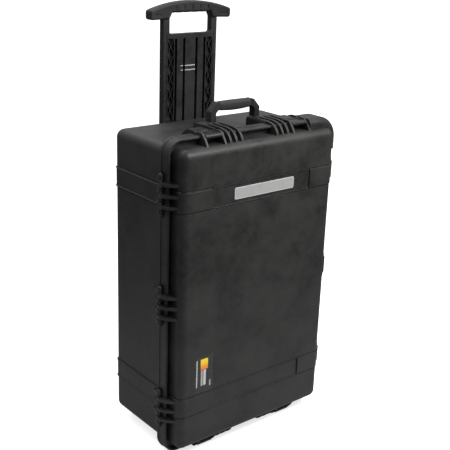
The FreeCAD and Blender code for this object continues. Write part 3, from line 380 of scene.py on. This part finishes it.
plate_low, plate_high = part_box("nameplate")
label_low, label_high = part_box("care_label")
MATERIALS = {
    "shell_plastic": moulded_plastic("shell_plastic", CHARCOAL, WORN_AND_LIT_EDGE, 0.47,
                                     grain=1.5 * MM, grain_depth=0.16 * MM),
    "latch_plastic": moulded_plastic("latch_plastic", (0.013, 0.013, 0.0128), WORN_AND_LIT_EDGE, 0.36,
                                     grain=0.8 * MM, grain_depth=0.04 * MM,
                                     edge_radius=0.6 * MM, edge_wear_and_highlight=0.40),
    "handle_plastic": moulded_plastic("handle_plastic", (0.0155, 0.0155, 0.0151), WORN_AND_LIT_EDGE, 0.50,
                                      grain=1.0 * MM, grain_depth=0.09 * MM,
                                      edge_radius=0.8 * MM, specular=0.2,
                                      prints=panel_prints()),
    "soft_rubber": soft_rubber("soft_rubber", (0.013, 0.013, 0.013)),
    "wheel_tread": soft_rubber("wheel_tread", (0.019, 0.019, 0.019), 0.80, 1.6 * MM),
    "wheel_plastic": moulded_plastic("wheel_plastic", (0.030, 0.030, 0.029), WORN_AND_LIT_EDGE, 0.42,
                                     grain=1.0 * MM, grain_depth=0.06 * MM,
                                     edge_radius=0.5 * MM),
    "plate_metal": plate_finish("plate_metal", plate_low, plate_high),
    "label_film": label_finish("label_film", label_low, label_high),
    "steel": brushed_metal("steel", (0.60, 0.59, 0.57), 0.30, (1.0, 1.0, 0.06)),
}


def paint(piece, slot):
    piece.data.materials.clear()
    piece.data.materials.append(MATERIALS[slot])


def paint_frame():
    slots = {row["node"]: row["material_slot"] for row in frame["record"]["subparts"]}
    for name, node in frame["nodes"].items():
        paint(node, slots[name])


# ---------------------------------------------------------------- finer meshes
def mesh_object(name, bm, slot):
    """A smooth piece made from a bmesh, with the finish of a material slot."""
    bmesh.ops.recalc_face_normals(bm, faces=bm.faces)
    mesh = bpy.data.meshes.new(name)
    bm.to_mesh(mesh)
    bm.free()
    for face in mesh.polygons:
        face.use_smooth = True
    piece = bpy.data.objects.new(name, mesh)
    bpy.context.scene.collection.objects.link(piece)
    paint(piece, slot)
    return piece


def skin(bm, rings, closed=False):
    """Joins neighbouring rings of vertices with quads, and caps the ends if they are open."""
    count = len(rings)
    for index in range(count if closed else count - 1):
        one = rings[index]
        two = rings[(index + 1) % count]
        for step in range(len(one)):
            nearby = (step + 1) % len(one)
            bm.faces.new((one[step], one[nearby], two[nearby], two[step]))
    if not closed:
        bm.faces.new(rings[0])
        bm.faces.new(list(reversed(rings[-1])))


def squared_circle(angle, power):
    """A point on a superellipse of half-axes 1."""
    c = math.cos(angle)
    s = math.sin(angle)
    return (math.copysign(abs(c) ** (2.0 / power), c), math.copysign(abs(s) ** (2.0 / power), s))


def soft_grip(node, body, along, across, up):
    """A carry handle's grip: fuller under its middle, waisted at its ends, ribbed below."""
    low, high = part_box(node)
    centre = (low + high) / 2.0
    size = high - low
    half_length = abs(size.dot(along)) / 2.0
    half_width = abs(size.dot(across)) / 2.0
    half_height = abs(size.dot(up)) / 2.0
    ribs = 2.0 * math.pi * half_length / GRIP_RIB_PITCH
    bm = bmesh.new()
    rings = []
    for index in range(GRIP_STATIONS):
        t = 2.0 * index / (GRIP_STATIONS - 1) - 1.0
        end = max(0.0, (abs(t) - 0.93) / 0.07)
        shrink = 1.0 - 0.16 * end * end
        width = half_width * (1.0 - 0.10 * t ** 2) * shrink
        top = half_height * (1.0 - 0.04 * t ** 2) * shrink
        bottom = half_height * (1.0 - 0.26 * t ** 2) * shrink
        rib = GRIP_RIB_DEPTH / 2.0 * (1.0 + math.cos(t * ribs))
        rib *= 1.0 if abs(t) < 0.80 else 0.0
        ring = []
        for step in range(GRIP_AROUND):
            c, s = squared_circle(2.0 * math.pi * step / GRIP_AROUND, GRIP_SQUARENESS)
            reach = top if s > 0 else bottom
            below = max(0.0, -s - 0.15) / 0.85
            inward = 1.0 - rib * below / reach
            place = centre + along * (t * half_length)
            place = place + across * (c * width * inward) + up * (s * reach * inward)
            ring.append(bm.verts.new(place))
        rings.append(ring)
    skin(bm, rings)
    piece = mesh_object(node.replace("grip", "soft_grip"), bm, "soft_rubber")
    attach(piece, body)
    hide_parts(node)
    return piece


def tyre_profile(radius, inner, half):
    """Half sections from the inner edge over the crown: pairs of place across and radius."""
    edge = radius - TYRE_CROWN
    quarter = [math.pi / 2.0 * step / 8.0 for step in range(9)]
    points = [(-half, inner)]
    for angle in quarter:
        points.append((-half + TYRE_SHOULDER * (1.0 - math.cos(angle)),
                       edge - TYRE_SHOULDER * (1.0 - math.sin(angle))))
    for middle in TYRE_GROOVES:
        crown = radius - TYRE_CROWN * abs(middle) / half
        for offset, depth in ((-1.6, 0.0), (-1.0, 1.0), (1.0, 1.0), (1.6, 0.0)):
            points.append((middle + offset * MM, crown - depth * TYRE_GROOVE_DEPTH))
    for angle in reversed(quarter):
        points.append((half - TYRE_SHOULDER * (1.0 - math.cos(angle)),
                       edge - TYRE_SHOULDER * (1.0 - math.sin(angle))))
    points.append((half, inner))
    return points


def grooved_tyre(side):
    node = "wheel_tyre_" + side
    low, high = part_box(node)
    centre = (low + high) / 2.0
    radius = (high.z - low.z) / 2.0
    hub_low, hub_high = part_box("wheel_hub_" + side)
    inner = (hub_high.z - hub_low.z) / 2.0
    profile = tyre_profile(radius, inner, (high.x - low.x) / 2.0)
    bm = bmesh.new()
    rings = []
    for step in range(TYRE_SEGMENTS):
        angle = 2.0 * math.pi * step / TYRE_SEGMENTS
        rings.append([bm.verts.new(centre + Vector((x, r * math.cos(angle), r * math.sin(angle))))
                      for x, r in profile])
    skin(bm, rings, closed=True)
    piece = mesh_object("grooved_tyre_" + side, bm, "wheel_tread")
    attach(piece, "wheel_" + side)
    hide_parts(node)
    return piece


# ---------------------------------------------------------------- stage
def add_floor():
    bm = bmesh.new()
    corners = [(-1, -1), (1, -1), (1, 1), (-1, 1)]
    bm.faces.new([bm.verts.new((x * FLOOR_HALF, y * FLOOR_HALF, cad_low.z)) for x, y in corners])
    mesh = bpy.data.meshes.new("floor")
    bm.to_mesh(mesh)
    bm.free()
    floor = bpy.data.objects.new("floor", mesh)
    bpy.context.scene.collection.objects.link(floor)
    floor.data.materials.append(floor_finish())


def add_light(name, place, target, size, power):
    data = bpy.data.lights.new(name, "AREA")
    data.shape = "RECTANGLE"
    data.size = size[0]
    data.size_y = size[1]
    data.energy = power
    light = bpy.data.objects.new(name, data)
    light.location = place
    light.visible_camera = False
    light.rotation_euler = (target - Vector(place)).to_track_quat("-Z", "Y").to_euler()
    bpy.context.scene.collection.objects.link(light)


def add_world():
    """White behind the case; for light, bright above, dim at the horizon, brighter behind."""
    n = Nodes(bpy.data.worlds.new("studio"), "Generated")
    _, y, z = n.coordinates()
    above = n.math("MULTIPLY", n.spread(z, 0.05, 0.95), ZENITH_LIGHT)
    low_back = n.math("MULTIPLY", n.spread(y, 0.25, 0.95), n.spread(z, 0.75, 0.35))
    light = n.math("ADD", n.math("ADD", HORIZON_LIGHT, above),
                   n.math("MULTIPLY", low_back, BACK_LIGHT))
    camera = n.seen_by_camera()
    unseen = n.math("MULTIPLY", light, n.math("SUBTRACT", 1.0, camera))
    seen = n.math("MULTIPLY", camera, BACKDROP_GLOW)
    background = n.add("ShaderNodeBackground")
    n.link(n.math("ADD", unseen, seen), background.inputs["Strength"])
    n.link(background.outputs[0], n.add("ShaderNodeOutputWorld").inputs["Surface"])
    bpy.context.scene.world = n.owner
    bpy.context.scene.view_settings.view_transform = "Standard"


def add_camera():
    """Looks at the case from the front left, a little above it, with a slight roll."""
    data = bpy.data.cameras.new("camera")
    data.lens = CAMERA_LENS
    data.sensor_width = SENSOR_WIDTH
    camera = bpy.data.objects.new("camera", data)
    forward = Vector((-math.sin(CAMERA_TURN) * math.cos(CAMERA_DOWN),
                      math.cos(CAMERA_TURN) * math.cos(CAMERA_DOWN),
                      -math.sin(CAMERA_DOWN)))
    level = forward.cross(Vector((0.0, 0.0, 1.0))).normalized()
    upright = level.cross(forward)
    right = level * math.cos(CAMERA_ROLL) + upright * math.sin(CAMERA_ROLL)
    up = upright * math.cos(CAMERA_ROLL) - level * math.sin(CAMERA_ROLL)
    matrix = camera.matrix_world.copy()
    for column, axis in enumerate((right, up, -forward, CAMERA_PLACE)):
        for row in range(3):
            matrix[row][column] = axis[row]
    camera.matrix_world = matrix
    bpy.context.scene.collection.objects.link(camera)
    bpy.context.scene.camera = camera


# ---------------------------------------------------------------- build
X, Y, Z = Vector((1, 0, 0)), Vector((0, 1, 0)), Vector((0, 0, 1))

paint_frame()
soft_grip("top_handle_grip", "top_handle", X, Y, Z)
soft_grip("side_handle_grip", "side_handle", Z, X, Y)
for wheel_side in ("left", "right"):
    grooved_tyre(wheel_side)

middle = (cad_low + cad_high) / 2.0
lid_top = Vector((0.0, cad_low.y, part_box("lid_shell")[1].z))
add_floor()
add_world()
add_light("key", KEY_PLACE, lid_top, KEY_SIZE, KEY_POWER)
add_light("top", TOP_PLACE, middle, TOP_SIZE, TOP_POWER)
add_camera()
